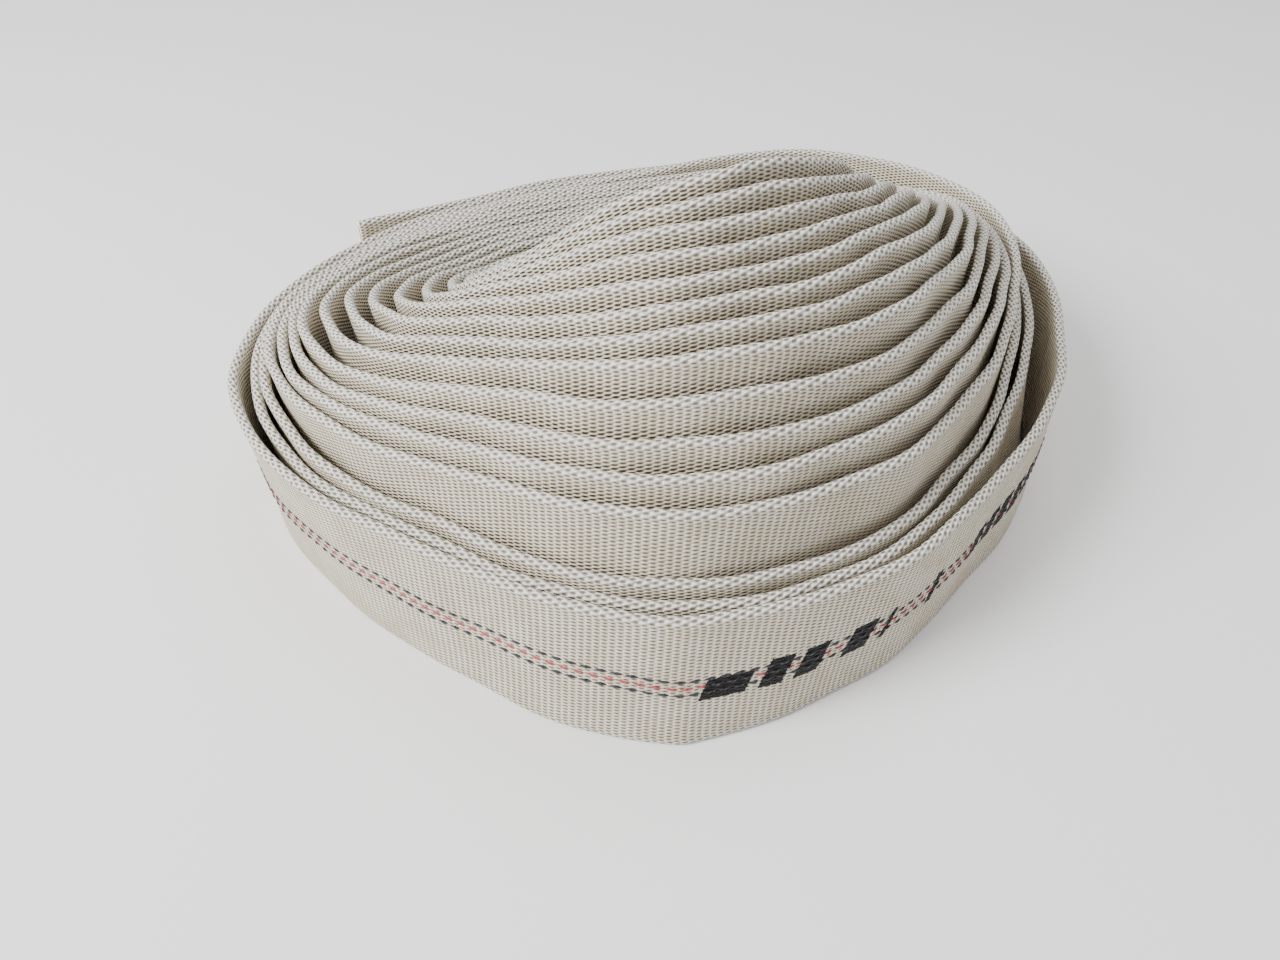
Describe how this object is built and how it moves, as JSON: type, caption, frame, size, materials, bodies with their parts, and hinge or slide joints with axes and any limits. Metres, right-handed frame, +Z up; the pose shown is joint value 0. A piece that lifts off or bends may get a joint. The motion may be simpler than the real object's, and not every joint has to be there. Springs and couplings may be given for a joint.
{
  "type": "rolled fire hose",
  "caption": "Roll of white woven lay-flat fire hose with a black and red tracer, standing on its edge with the inner turns pushed up into a low mound.",
  "frame": {"origin": "on the floor under the middle of the roll's footprint", "axes": "+Z up, along the roll's axis and across the flat hose; -Y towards the front, where the inner turns stand highest; +X to the right of the front"},
  "size_m": [0.2418, 0.2362, 0.1111],
  "materials": {
    "woven_jacket": "matte plain weave",
    "rubber_lining": "smooth matte",
    "red_yarn": "matte yarn",
    "black_yarn": "matte yarn"
  },
  "bodies": {
    "root": {"hose_jacket": "woven_jacket", "hose_lining": "rubber_lining", "tracer_yarn_red": "red_yarn", "tracer_yarn_black_upper": "black_yarn", "tracer_yarn_black_lower": "black_yarn"}
  },
  "joints": []
}
